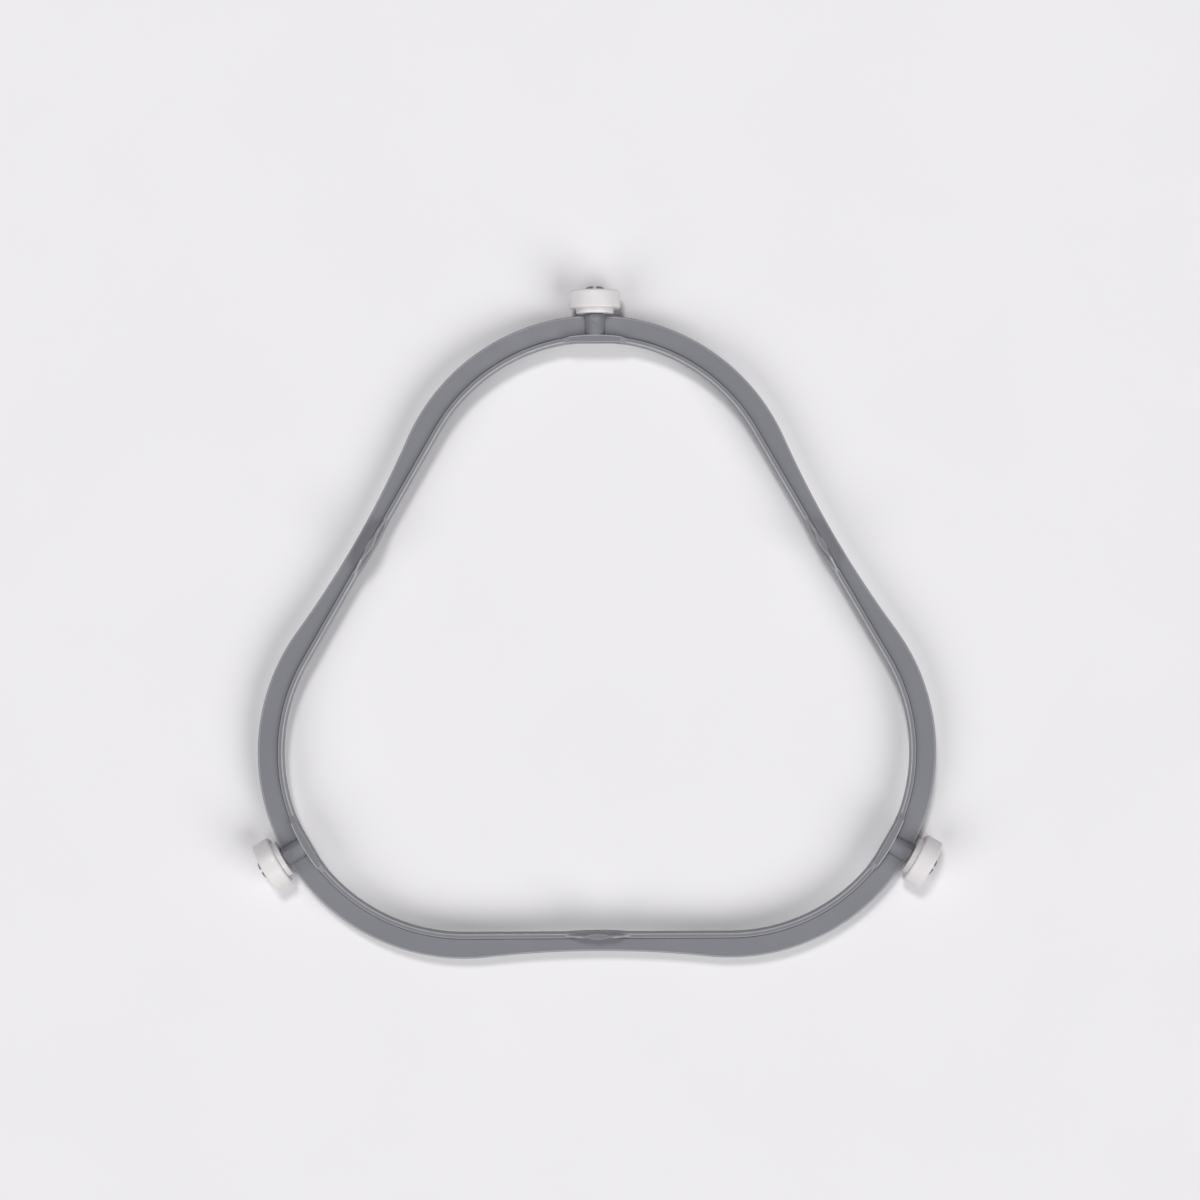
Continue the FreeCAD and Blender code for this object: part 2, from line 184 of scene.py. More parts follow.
class Workpiece:
    """A mesh on the bench, modelled with operators in edit mode as by hand."""

    def __init__(self, name: str, primitive: Callable[..., set[str]], **options: object) -> None:
        """Adds a primitive at its size and place and opens it in edit mode.

        Args:
            name: name of the piece.
            primitive: operator that adds the primitive.
            options: size and place of the primitive.
        """
        bpy.ops.object.select_all(action="DESELECT")
        primitive(**options)
        bpy.ops.object.transform_apply(location=True, rotation=True, scale=True)
        self.piece = bpy.context.object
        self.piece.name = name
        self.piece.data.name = name
        bpy.ops.object.mode_set(mode="EDIT")
        bpy.ops.mesh.select_mode(type=Pick.POINTS.value)
        bpy.ops.mesh.select_all(action="SELECT")

    @classmethod
    def from_outline(cls, name: str, outline: Sequence[Vector]) -> "Workpiece":
        """Draws a closed outline edge by edge, from one point.

        Args:
            name: name of the piece.
            outline: corners of the outline, in order.

        Returns:
            The piece in edit mode, with the whole outline selected.
        """
        work = cls(name, bpy.ops.mesh.primitive_plane_add, size=SEED_SIZE, location=outline[0])
        bpy.ops.mesh.merge(type="CENTER")
        for place, following in zip(outline, outline[1:]):
            work.extrude(following - place)
        ends = (outline[0], outline[-1])
        work.pick(Pick.POINTS, lambda point: any((point.co - end).length < SAME for end in ends))
        bpy.ops.mesh.edge_face_add()
        bpy.ops.mesh.select_all(action="SELECT")
        return work

    def pick(self, kind: Pick, wanted: Callable[[Element], bool]) -> int:
        """Selects the points, edges or faces that pass a test, and nothing else.

        Args:
            kind: what is selected.
            wanted: test of one element.

        Returns:
            How many were selected.
        """
        bpy.ops.mesh.select_mode(type=kind.value)
        bpy.ops.mesh.select_all(action="DESELECT")
        mesh = bmesh.from_edit_mesh(self.piece.data)
        mesh.normal_update()
        elements = {Pick.POINTS: mesh.verts, Pick.EDGES: mesh.edges, Pick.FACES: mesh.faces}[kind]
        chosen = [element for element in elements if wanted(element)]
        for element in chosen:
            element.select_set(True)
        mesh.select_flush_mode()
        bmesh.update_edit_mesh(self.piece.data)
        return len(chosen)

    def extrude(self, step: Vector) -> None:
        """Extrudes the selection by a step, which leaves the new end selected."""
        bpy.ops.mesh.extrude_region_move(TRANSFORM_OT_translate={"value": step})

    def move(self, step: Vector) -> None:
        """Moves the selection by a step."""
        bpy.ops.transform.translate(value=step)

    def scale(self, factors: Vector, centre: Vector) -> None:
        """Scales the selection about a point, by a factor along each axis."""
        bpy.ops.transform.resize(value=factors, center_override=centre)

    def spin(self, centre: Vector, axis: Vector, turn: float, steps: int, copies: bool = False) -> None:
        """Sweeps the selection round an axis, or copies it at each step.

        The operator turns the other way without a window, so it gets the axis turned round.

        Args:
            centre: a point on the axis.
            axis: direction of the axis.
            turn: whole turn in radians, right-handed about the axis.
            steps: how many steps it takes.
            copies: whether each step is a copy on its own.
        """
        bpy.ops.mesh.spin(steps=steps, dupli=copies, angle=turn, center=centre, axis=-axis)

    def round_off(self, kind: Pick, rounding: Rounding, wanted: Callable[[Element], bool]) -> int:
        """Rounds the edges, or the corners of an outline, that pass a test.

        Args:
            kind: edges of a solid, or points of an outline.
            rounding: reach and facets of the rounding.
            wanted: test of one edge or point.

        Returns:
            How many were rounded.
        """
        count = self.pick(kind, wanted)
        affected = "EDGES" if kind is Pick.EDGES else "VERTICES"
        bpy.ops.mesh.bevel(offset=rounding.radius, segments=rounding.facets, affect=affected,
                           clamp_overlap=False)
        return count

    def mark(self, mark: Mark, strength: float) -> None:
        """Marks the selected faces.

        Args:
            mark: which mark they get.
            strength: how strong it is, up to 1.
        """
        bpy.ops.mesh.select_mode(type=Pick.FACES.value)
        attributes = self.piece.data.attributes
        if mark.value not in attributes:
            bpy.ops.geometry.attribute_add(name=mark.value, domain="FACE", data_type="FLOAT")
        attributes.active = attributes[mark.value]
        bpy.ops.mesh.attribute_set(value_float=strength)

    def close(self) -> None:
        """Merges doubled points and turns all faces outwards."""
        bpy.ops.mesh.select_all(action="SELECT")
        bpy.ops.mesh.remove_doubles(threshold=SAME)
        bpy.ops.mesh.normals_make_consistent(inside=False)

    def finish(self) -> bpy.types.Object:
        """Leaves edit mode and hands over the piece."""
        bpy.ops.object.mode_set(mode="OBJECT")
        return self.piece


def select_only(piece: bpy.types.Object) -> None:
    """Makes a piece the active object and the only one selected."""
    bpy.ops.object.select_all(action="DESELECT")
    piece.select_set(True)
    bpy.context.view_layer.objects.active = piece


def combine(piece: bpy.types.Object, other: bpy.types.Object, how: Combine) -> None:
    """Adds a second solid to a piece or cuts it out, and removes the second solid.

    Args:
        piece: solid that is changed.
        other: solid that is used up.
        how: whether it is added or cut.
    """
    select_only(piece)
    bpy.ops.object.modifier_add(type="BOOLEAN")
    modifier = piece.modifiers[-1]
    modifier.operation = how.value
    modifier.solver = "EXACT"
    modifier.object = other
    bpy.ops.object.modifier_apply(modifier=modifier.name)
    bpy.data.objects.remove(other, do_unlink=True)


def turned_copy(piece: bpy.types.Object, name: str, turn: float) -> bpy.types.Object:
    """Copies a piece with its own mesh and swings the copy round the ring's axis.

    Args:
        piece: piece that is copied.
        name: name of the copy.
        turn: turn about the ring's axis in radians.

    Returns:
        The copy, with its place in its mesh.
    """
    select_only(piece)
    bpy.ops.object.duplicate(linked=False)
    copy = bpy.context.object
    copy.name = name
    copy.data.name = name
    copy.rotation_euler.z = turn
    bpy.ops.object.transform_apply(location=True, rotation=True, scale=True)
    return copy


def smooth(piece: bpy.types.Object) -> None:
    """Shades a piece smooth, apart from its sharp edges."""
    select_only(piece)
    bpy.ops.object.shade_smooth_by_angle(angle=SHADE_SHARP)


class NodeBoard:
    """The nodes of one material, which all read the piece's own Object coordinates."""

    def __init__(self, name: str) -> None:
        """Opens a new material with an empty shader.

        Args:
            name: name of the material.
        """
        self.material = bpy.data.materials.new(name)
        self.material.use_nodes = True
        self.tree = self.material.node_tree
        self.shader = self.tree.nodes["Principled BSDF"]
        self.place = self.tree.nodes.new("ShaderNodeTexCoord").outputs["Object"]

    def set(self, **values: object) -> None:
        """Sets sockets of the shader, named with underscores for blanks, to fixed values."""
        for name, value in values.items():
            self.shader.inputs[name.replace("_", " ")].default_value = value

    def wire(self, output: bpy.types.NodeSocket, name: str) -> None:
        """Wires an output to a socket of the shader."""
        self.tree.links.new(output, self.shader.inputs[name])

    def noise(self, grain: float, detail: float = 2.0) -> bpy.types.NodeSocket:
        """Cloudy pattern with a grain of a given length.

        Args:
            grain: length of one cloud.
            detail: how many finer patterns lie over it.

        Returns:
            The pattern's value, about 0.5 on the whole.
        """
        node = self.tree.nodes.new("ShaderNodeTexNoise")
        node.inputs["Scale"].default_value = 1 / grain
        node.inputs["Detail"].default_value = detail
        self.tree.links.new(self.place, node.inputs["Vector"])
        return node.outputs["Fac"]

    def marked(self, mark: Mark, patches: bpy.types.NodeSocket) -> bpy.types.NodeSocket:
        """Strength of a mark on the faces, broken up by a pattern.

        Args:
            mark: which mark is read.
            patches: pattern that breaks it up.

        Returns:
            The strength, up to 1.
        """
        read = self.tree.nodes.new("ShaderNodeAttribute")
        read.attribute_name = mark.value
        node = self.tree.nodes.new("ShaderNodeMath")
        node.operation = "MULTIPLY"
        self.tree.links.new(read.outputs["Fac"], node.inputs[0])
        self.tree.links.new(patches, node.inputs[1])
        return node.outputs["Value"]

    def span(self, value: bpy.types.NodeSocket, low: float, high: float) -> bpy.types.NodeSocket:
        """Spreads a pattern's usual range over a range of numbers.

        Args:
            value: pattern from a noise.
            low: number where the pattern is weak.
            high: number where the pattern is strong.

        Returns:
            The spread value.
        """
        node = self.tree.nodes.new("ShaderNodeMapRange")
        node.inputs["From Min"].default_value = NOISE_LOW
        node.inputs["From Max"].default_value = NOISE_HIGH
        node.inputs["To Min"].default_value = low
        node.inputs["To Max"].default_value = high
        self.tree.links.new(value, node.inputs["Value"])
        return node.outputs["Result"]

    def blend(self, share: bpy.types.NodeSocket, first: object, second: object) -> bpy.types.NodeSocket:
        """Mixes two colours by a pattern.

        Args:
            share: share of the second colour.
            first: first colour, or an output that gives it.
            second: second colour, or an output that gives it.

        Returns:
            The mixed colour.
        """
        node = self.tree.nodes.new("ShaderNodeMix")
        node.data_type = "RGBA"
        self.tree.links.new(share, node.inputs["Factor"])
        for name, colour in (("A", first), ("B", second)):
            socket = next(entry for entry in node.inputs if entry.name == name and entry.type == "RGBA")
            if isinstance(colour, bpy.types.NodeSocket):
                self.tree.links.new(colour, socket)
            else:
                socket.default_value = (*colour, 1.0)
        return next(entry for entry in node.outputs if entry.type == "RGBA")

    def relief(self, height: bpy.types.NodeSocket, depth: float, below: bpy.types.NodeSocket | None = None,
               ) -> bpy.types.NodeSocket:
        """Turns a pattern into a fine relief of the surface.

        Args:
            height: pattern that is taken as height.
            depth: height of the relief.
            below: normal of a coarser relief under it.

        Returns:
            The normal.
        """
        node = self.tree.nodes.new("ShaderNodeBump")
        node.inputs["Distance"].default_value = depth
        self.tree.links.new(height, node.inputs["Height"])
        if below is not None:
            self.tree.links.new(below, node.inputs["Normal"])
        return node.outputs["Normal"]


@dataclass(frozen=True)
class MouldedPlastic:
    """Finish of a moulded plastic piece.

    It has a cloudy colour, patchy gloss and a fine mould grain. Faces marked with painted light are paler,
    as painted highlights, reflections and fill light, and those marked as shaded are darker, as painted
    shade.
    """

    name: str
    light_tone: Colour
    dark_tone: Colour
    cloud_size: float
    low_roughness: float
    high_roughness: float
    grain_size: float
    grain_depth: float
    gloss: float = 0.5
    subsurface: float = 0.0
    subsurface_depth: float = 0.001
    # Paler colour for faces marked with painted light
    worn_tone: Colour | None = None
    shaded_tone: Colour | None = None
    cloud_detail: float = 4.0
    grains_per_speck: float = 3.0
    speck_share: float = 0.5
    patches_per_cloud: float = 10.0
    patch_low: float = 0.75
    sheens_per_cloud: float = 3.0
    sheen_detail: float = 3.0
    waves_per_cloud: float = 4.0
    grains_per_wave_depth: float = 4.0

    def material(self) -> bpy.types.Material:
        """Builds the finish's material.

        Returns:
            A new material.
        """
        board = NodeBoard(self.name)
        clouds = board.span(board.noise(self.cloud_size, self.cloud_detail), 0.0, 1.0)
        specks = board.span(board.noise(self.grain_size * self.grains_per_speck), 0.0, self.speck_share)
        mottled = board.blend(specks, self.light_tone, self.dark_tone)
        colour = board.blend(clouds, mottled, self.dark_tone)
        # Marked faces get painted light, which is paler, or painted shade, which is darker
        for mark, tone in ((Mark.WORN, self.worn_tone), (Mark.SHADED, self.shaded_tone)):
            if tone is not None:
                patchy = board.noise(self.cloud_size / self.patches_per_cloud)
                patches = board.span(patchy, self.patch_low, 1.0)
                colour = board.blend(board.marked(mark, patches), colour, tone)
        board.wire(colour, "Base Color")
        sheen = board.noise(self.cloud_size / self.sheens_per_cloud, self.sheen_detail)
        board.wire(board.span(sheen, self.low_roughness, self.high_roughness), "Roughness")
        wave_depth = self.grain_depth * self.grains_per_wave_depth
        waves = board.relief(board.noise(self.cloud_size / self.waves_per_cloud), wave_depth)
        board.wire(board.relief(board.noise(self.grain_size), self.grain_depth, waves), "Normal")
        board.set(Specular_IOR_Level=self.gloss)
        if self.subsurface:
            board.set(Subsurface_Weight=self.subsurface, Subsurface_Scale=self.subsurface_depth)
        return board.material


@dataclass
class SupportRing:
    """The grey moulding: lobed flange, upright wall, lands, humps and three split snap axles."""

    finish: MouldedPlastic
    name: str = "moulded_ring"
    node: str = "support_ring"
    body: str = "ring"
    slot: str = "ring_plastic"
    corner_offset: float = 0.0450
    wall_inner: float = 0.05265
    wall_thickness: float = 0.0018
    wall_bottom: float = 0.0059
    wall_foot: float = 0.0003
    wall_draft: float = 0.00045
    wall_top: float = 0.0092
    flange_width: float = 0.00595
    flange_under: float = 0.0065
    flange_top: float = 0.0080
    waist_dip: float = 0.0021
    land_angle: float = radians(8)
    land_ramp: float = radians(2)
    land_top: float = 0.0106
    land_bottom: float = 0.0044
    land_swell: float = 0.00015
    land_flat_half: float = 0.0055
    hump_half: float = 0.0095
    hump_crest_half: float = 0.0043
    hump_rise: float = 0.0042
    hump_swell: float = 0.0004
    ramp_round_share: float = 0.3
    blade_thickness: float = 0.0006
    blade_set: float = 0.000375
    pad_half: float = 0.0041
    pad_thickness: float = 0.0014
    pad_set: float = 0.00103
    axle_height: float = 0.0075
    boss_radius: float = 0.0030
    boss_root: float = 0.09855
    boss_end: float = 0.1056
    pin_radius: float = 0.0022
    head_radius: float = 0.0028
    head_shoulder: float = 0.1121
    head_nose: float = 0.1133
    axle_tip: float = 0.11375
    tip_radius: float = 0.0020
    split_width: float = 0.0010
    split_root: float = 0.1066
    ejector_radius: float = 0.0014
    ejector_set: float = 0.00125
    ejector_depth: float = 0.00022
    rim_rounding: Rounding = Rounding(0.0005, 4)
    crest_rounding: Rounding = Rounding(0.0003, 3)
    crease_rounding: Rounding = Rounding(0.0003, 3)
    foot_rounding: Rounding = Rounding(0.00012, 2)
    hump_rounding: Rounding = Rounding(0.00014, 2)
    split_rounding: Rounding = Rounding(0.0004, 4)
    painted_light_levels: PaintedLightLevels = PaintedLightLevels()
    shade: float = 1.0
    arc_step: float = radians(2)
    pad_steps: int = 7
    ramp_steps: int = 12
    run_steps: int = 11
    boss_facets: int = 72
    ejector_facets: int = 48

    @property
    def wall_outer(self) -> float:
        """Wall's outer face round a corner."""
        return self.wall_inner + self.wall_thickness

    @property
    def flange_edge(self) -> float:
        """Flange's edge round a corner."""
        return self.wall_outer + self.flange_width

    @property
    def flange_middle(self) -> float:
        """Middle of the flange's width round a corner."""
        return self.wall_outer + self.flange_width / 2

    @property
    def side_half(self) -> float:
        """Half the straight length of a side."""
        return self.corner_offset * sin(THIRD / 2)

    @property
    def crest_inner(self) -> float:
        """Inner edge of the wall's top round a corner, at the end of the inner face's slope."""
        return self.wall_inner + self.wall_draft

    @property
    def blade_outer(self) -> float:
        """Outer face of a hump's blade, which stands on the middle of the wall's top."""
        return self.wall_outer - self.blade_set

    @property
    def blade_inner(self) -> float:
        """Inner face of a hump's blade."""
        return self.blade_outer - self.blade_thickness

    @property
    def stations(self) -> list[float]:
        """Places along half a side, from its middle, at which the section is swept to."""
        pad = spread(0.0, self.pad_half, self.pad_steps)
        ramp = spread(self.hump_crest_half, self.hump_half, self.ramp_steps)
        run = spread(self.hump_half, self.side_half, self.run_steps)
        return [*pad, self.hump_crest_half, *ramp, *run]

    def section(self) -> list[tuple[float, float]]:
        """Corners of the swept section: reach from the corner's centre, and height."""
        return [
            (self.wall_inner, self.wall_bottom),
            (self.wall_outer, self.wall_bottom),
            (self.wall_outer, self.flange_under),
            (self.flange_edge, self.flange_under),
            (self.flange_edge, self.flange_top),
            (self.wall_outer, self.flange_top),
            (self.wall_outer, self.wall_top),
            (self.blade_outer, self.wall_top),
            (self.blade_inner, self.wall_top),
            (self.crest_inner, self.wall_top),
            (self.wall_inner, self.wall_bottom + self.wall_foot),
        ]

    def in_front(self, place: Vector) -> Vector:
        """Swings a place to the third of the ring round the front side."""
        turns = round((atan2(place.y, place.x) + pi / 2) / THIRD)
        return Matrix.Rotation(-turns * THIRD, 3, "Z") @ place

    def corner_centre(self, place: Vector) -> Vector:
        """Centre of the corner's arcs on the same side of the front third as a place."""
        return polar(self.corner_offset, -pi / 6 if place.x > 0 else -5 * pi / 6)

    def reach(self, place: Vector) -> float:
        """How far out a place of the front third lies, counted as the section's own reach."""
        if abs(place.x) <= self.side_half:
            return -place.y - self.corner_offset / 2
        centre = self.corner_centre(place)
        return (place - centre).xy.length

    def off_axle(self, place: Vector) -> float:
        """Angle at the corner's centre between a place of the front third and the axle."""
        centre = self.corner_centre(place)
        return (place - centre).xy.angle(centre.xy)

    def flange_reach(self, station: float) -> float:
        """Reach of the flange's waisted edge at a station along a side.

        Args:
            station: place along the side, from its middle.

        Returns:
            The reach, counted as in the section.
        """
        dip = self.waist_dip
        offset = self.corner_offset
        side_centre = (0.75 * offset**2 + dip * offset - dip**2) / (2 * dip)
        side_radius = side_centre - (offset / 2 + self.flange_edge - dip)
        lobe_start = self.side_half * side_radius / (side_radius + self.flange_edge)
        if abs(station) < lobe_start:
            return side_centre - sqrt(side_radius**2 - station**2) - offset / 2
        return sqrt(self.flange_edge**2 - (self.side_half - abs(station)) ** 2)

    def sweep_third(self) -> Workpiece:
        """Sweeps the section from the left axle, round the front side, to the right axle.

        Returns:
            The open third, in edit mode.
        """
        left = polar(self.corner_offset, -5 * pi / 6)
        right = polar(self.corner_offset, -pi / 6)
        outline = [left + polar(reach, -5 * pi / 6, height) for reach, height in self.section()]
        work = Workpiece.from_outline(self.name, outline)
        bend = THIRD / 2 - self.land_angle - self.land_ramp
        arcs = [self.land_angle, self.land_ramp, bend]
        for arc in arcs:
            work.spin(left, UP, arc, round(arc / self.arc_step))
        half = [0.0, *self.stations]
        places = [-place for place in reversed(half)] + half[1:]
        for place, following in zip(places, places[1:]):
            work.extrude(Vector((following - place, 0, 0)))
        for arc in reversed(arcs):
            work.spin(right, UP, arc, round(arc / self.arc_step))
        return work

    def waist_flange(self, work: Workpiece) -> None:
        """Draws the flange's edge in along the side, station by station."""
        for station in [0.0, *self.stations]:
            work.pick(Pick.POINTS, lambda point: (
                abs(abs(point.co.x) - station) < SAME and self.reach(point.co) > self.flange_edge - SAME))
            work.move(Vector((0, self.flange_edge - self.flange_reach(station), 0)))

    def raise_lands(self, work: Workpiece) -> None:
        """Makes the wall taller behind both axles of the third, flat inside and swollen outside."""
        flat = sqrt(self.wall_inner**2 - self.land_flat_half**2)
        for side in (-1, 1):
            centre = self.corner_centre(Vector((side, 0, 0)))

            def on_land(place: Vector, turn: float, room: float) -> bool:
                """Whether a place lies on this side's land, within some room of a turn from the axle."""
                return place.x * side > self.side_half and abs(self.off_axle(place) - turn) < room

            def push(row: float, turn: float, factor: float) -> None:
                """Scales one row of the section, at a turn from the axle, about the corner's centre."""
                work.pick(Pick.POINTS, lambda point: (
                    on_land(point.co, turn, self.arc_step / 4) and abs(self.reach(point.co) - row) < SAME))
                work.scale(Vector((factor, factor, 1)), centre)

            for turn in [0.0, *spread(0.0, self.land_angle, round(self.land_angle / self.arc_step))]:
                for row in (self.wall_inner, self.crest_inner):
                    push(row, turn, min(flat / cos(turn) / row, 1))
                push(self.wall_outer, turn, 1 + self.land_swell / self.wall_outer)
            room = self.land_angle + self.arc_step / 4
            work.pick(Pick.POINTS, lambda point: (
                on_land(point.co, 0.0, room) and point.co.z > self.wall_top - SAME))
            work.move(UP * (self.land_top - self.wall_top))
            work.pick(Pick.POINTS, lambda point: (
                on_land(point.co, 0.0, room) and point.co.z < self.wall_bottom + SAME))
            work.move(UP * (self.land_bottom - self.wall_bottom))

    def pad_reach(self, station: float) -> tuple[float, float]:
        """Reach of the inner and outer edge of a hump's blade, with its lens-shaped pad, at a station."""
        radius = (self.pad_half**2 + self.pad_thickness**2 / 4) / self.pad_thickness
        half = sqrt(radius**2 - min(station, self.pad_half) ** 2) - radius + self.pad_thickness / 2
        middle = self.wall_inner + self.pad_set
        return min(middle - half, self.blade_inner), max(middle + half, self.blade_outer)

    def ramp_drop(self, station: float) -> float:
        """How far the blade's top has come down at a station, along a ramp rounded at both ends."""
        share = (station - self.hump_crest_half) / (self.hump_half - self.hump_crest_half)
        near_end = min(share, 1 - share)
        if near_end < self.ramp_round_share:
            fall = near_end**2 / (2 * self.ramp_round_share)
        else:
            fall = near_end - self.ramp_round_share / 2
        fall /= 1 - self.ramp_round_share
        return self.hump_rise * (fall if share < 0.5 else 1 - fall)

    def raise_hump(self, work: Workpiece) -> None:
        """Raises the blade at the middle of the side, and shapes the pad on it and the bulge below it."""
        work.pick(Pick.FACES, self.is_blade_seat)
        work.extrude(UP * self.hump_rise)
        crest = self.wall_top + self.hump_rise

        def shift(station: float, row: float, step: Vector, lowest: float = 0.0) -> None:
            """Moves the points of one row of the section, at a station and over a height."""
            work.pick(Pick.POINTS, lambda point: (
                abs(abs(point.co.x) - station) < SAME and abs(self.reach(point.co) - row) < SAME
                and point.co.z > lowest - SAME))
            work.move(step)

        for station in [0.0, *self.stations]:
            if station > self.hump_half + SAME:
                break
            if station > self.hump_crest_half + SAME:
                for row in (self.blade_inner, self.blade_outer):
                    shift(station, row, UP * -self.ramp_drop(station), crest)
            bulge = self.hump_swell * (1 - (station / self.hump_half) ** 2)
            inner, outer = self.pad_reach(station)
            if inner - (self.crest_inner - bulge) < self.hump_rounding.radius:
                inner = self.crest_inner - bulge
            if self.wall_outer - outer < self.hump_rounding.radius:
                outer = self.wall_outer
            for row in (self.wall_inner, self.crest_inner):
                shift(station, row, Vector((0, bulge, 0)))
            shift(station, self.blade_inner, Vector((0, self.blade_inner - inner, 0)))
            shift(station, self.blade_outer, Vector((0, self.blade_outer - outer, 0)))

    def is_blade_seat(self, face: bmesh.types.BMFace) -> bool:
        """Whether a face is part of the strip of the wall's top that the hump's blade stands on."""
        middle = face.calc_center_median()
        on_top = abs(middle.z - self.wall_top) < SAME and abs(middle.x) < self.hump_half
        return on_top and self.blade_inner < self.reach(middle) < self.blade_outer

    def is_sharp(self, edge: bmesh.types.BMEdge) -> bool:
        """Whether two faces meet at an edge by more than a rounding's own facets do."""
        return edge.is_manifold and edge.calc_face_angle() > BAND_SHARP

    def round_band(self, work: Workpiece) -> None:
        """Rounds the edges and creases of the whole band, and marks painted highlights on the edges and
        painted shade in the creases.
        """
        def middle(edge: bmesh.types.BMEdge) -> Vector:
            """Middle of an edge, swung to the front third."""
            return self.in_front((edge.verts[0].co + edge.verts[1].co) / 2)

        def by_hump(place: Vector) -> bool:
            """Whether a place lies along the hump of the front side."""
            return abs(place.x) < self.hump_half + SAME

        def on_land(place: Vector) -> bool:
            """Whether a place lies on the taller stretch of wall behind an axle."""
            return abs(place.x) > self.side_half and self.off_axle(place) < self.land_angle + SAME

        wall_middle = (self.crest_inner + self.wall_outer) / 2
        work.round_off(Pick.EDGES, self.rim_rounding, lambda edge: (
            self.is_sharp(edge) and self.reach(middle(edge)) > self.flange_middle))
        work.round_off(Pick.EDGES, self.foot_rounding, lambda edge: (
            self.is_sharp(edge) and middle(edge).z < self.flange_under + SAME))
        work.round_off(Pick.EDGES, self.crease_rounding, lambda edge: (
            self.is_sharp(edge) and abs(middle(edge).z - self.flange_top) < SAME))
        work.mark(Mark.SHADED, self.shade)
        for inside in (True, False):
            for land in (True, False):
                work.round_off(Pick.EDGES, self.crest_rounding, lambda edge: (
                    self.is_sharp(edge) and middle(edge).z > self.wall_top - SAME
                    and (self.reach(middle(edge)) < wall_middle) is inside
                    and on_land(middle(edge)) is land and not by_hump(middle(edge))))
                # Painted highlight along the rounded top edges of the wall
                work.mark(Mark.WORN, self.painted_light_levels.crest if inside is not land else self.painted_light_levels.faint_crest)
        work.round_off(Pick.EDGES, self.hump_rounding, lambda edge: (
            self.is_sharp(edge) and middle(edge).z > self.wall_top + SAME and by_hump(middle(edge))))
        # Painted highlight along the hump's rounded edges
        work.mark(Mark.WORN, self.painted_light_levels.hump_edge)
        self.paint_light_on_slopes(work)

    def paint_light_on_slopes(self, work: Workpiece) -> None:
        """Paints light onto ramps, ledges, the wall's sloped inner face and the flange's rim: painted
        highlights on ramps and rim, painted fill light on the shaded ledges and a painted reflection on the
        inner face.
        """
        def ramp_of(face: bmesh.types.BMFace) -> Vector | None:
            """Middle of a sloping face over the wall's top, swung to the front third, or nothing."""
            middle = self.in_front(face.calc_center_median())
            return middle if middle.z > self.wall_top + SAME and Slope.RAMP.fits(face) else None

        def on_hump_ramp(face: bmesh.types.BMFace) -> bool:
            """Whether a face slopes down from the top of a hump."""
            middle = ramp_of(face)
            return middle is not None and self.pad_half < abs(middle.x) < self.hump_half

        def on_land_ramp(face: bmesh.types.BMFace) -> bool:
            """Whether a face slopes down from the end of a land."""
            middle = ramp_of(face)
            if middle is None or abs(middle.x) <= self.side_half:
                return False
            return self.off_axle(middle) > self.land_angle

        def on_ledge(face: bmesh.types.BMFace) -> bool:
            """Whether a face lies beside a blade, on its inner side or on the wall's top below it."""
            middle = self.in_front(face.calc_center_median())
            inside = abs(middle.x) < self.hump_half and self.reach(middle) < self.blade_inner + SAME
            level = face.normal.z > FACING
            below = middle.z < self.wall_top + SAME
            return inside and middle.z > self.wall_top - SAME and level is below

        def on_inner_face(face: bmesh.types.BMFace) -> bool:
            """Whether a face is part of the wall's sloped inner face."""
            middle = self.in_front(face.calc_center_median())
            inside = self.wall_inner - 2 * self.hump_swell < self.reach(middle) < self.crest_inner
            under_crest = middle.z < self.wall_top - self.crest_rounding.radius
            return inside and under_crest and Slope.INNER_FACE.fits(face)

        def on_rim(face: bmesh.types.BMFace) -> bool:
            """Whether a face is in the upper half of the flange's rounded rim."""
            middle = self.in_front(face.calc_center_median())
            return self.reach(middle) > self.flange_middle and Slope.RIM.fits(face)

        # Painted light: highlights on ramps and rim, fill light on shaded ledges, reflection on the inner
        # face
        worn = (
            (on_hump_ramp, self.painted_light_levels.hump_ramp),
            (on_land_ramp, self.painted_light_levels.land_ramp),
            (on_ledge, self.painted_light_levels.ledge),
            (on_inner_face, self.painted_light_levels.inner_face),
            (on_rim, self.painted_light_levels.rim),
        )
        for wanted, strength in worn:
            work.pick(Pick.FACES, wanted)
            work.mark(Mark.WORN, strength)

    def make_band(self) -> bpy.types.Object:
        """Makes the whole swept band from three equal thirds.

        Returns:
            The band as one closed mesh.
        """
        work = self.sweep_third()
        self.waist_flange(work)
        self.raise_lands(work)
        self.raise_hump(work)
        bpy.ops.mesh.select_all(action="SELECT")
        work.spin(Vector(), UP, 2 * THIRD, 2, copies=True)
        work.close()
        self.round_band(work)
        work.close()
        return work.finish()

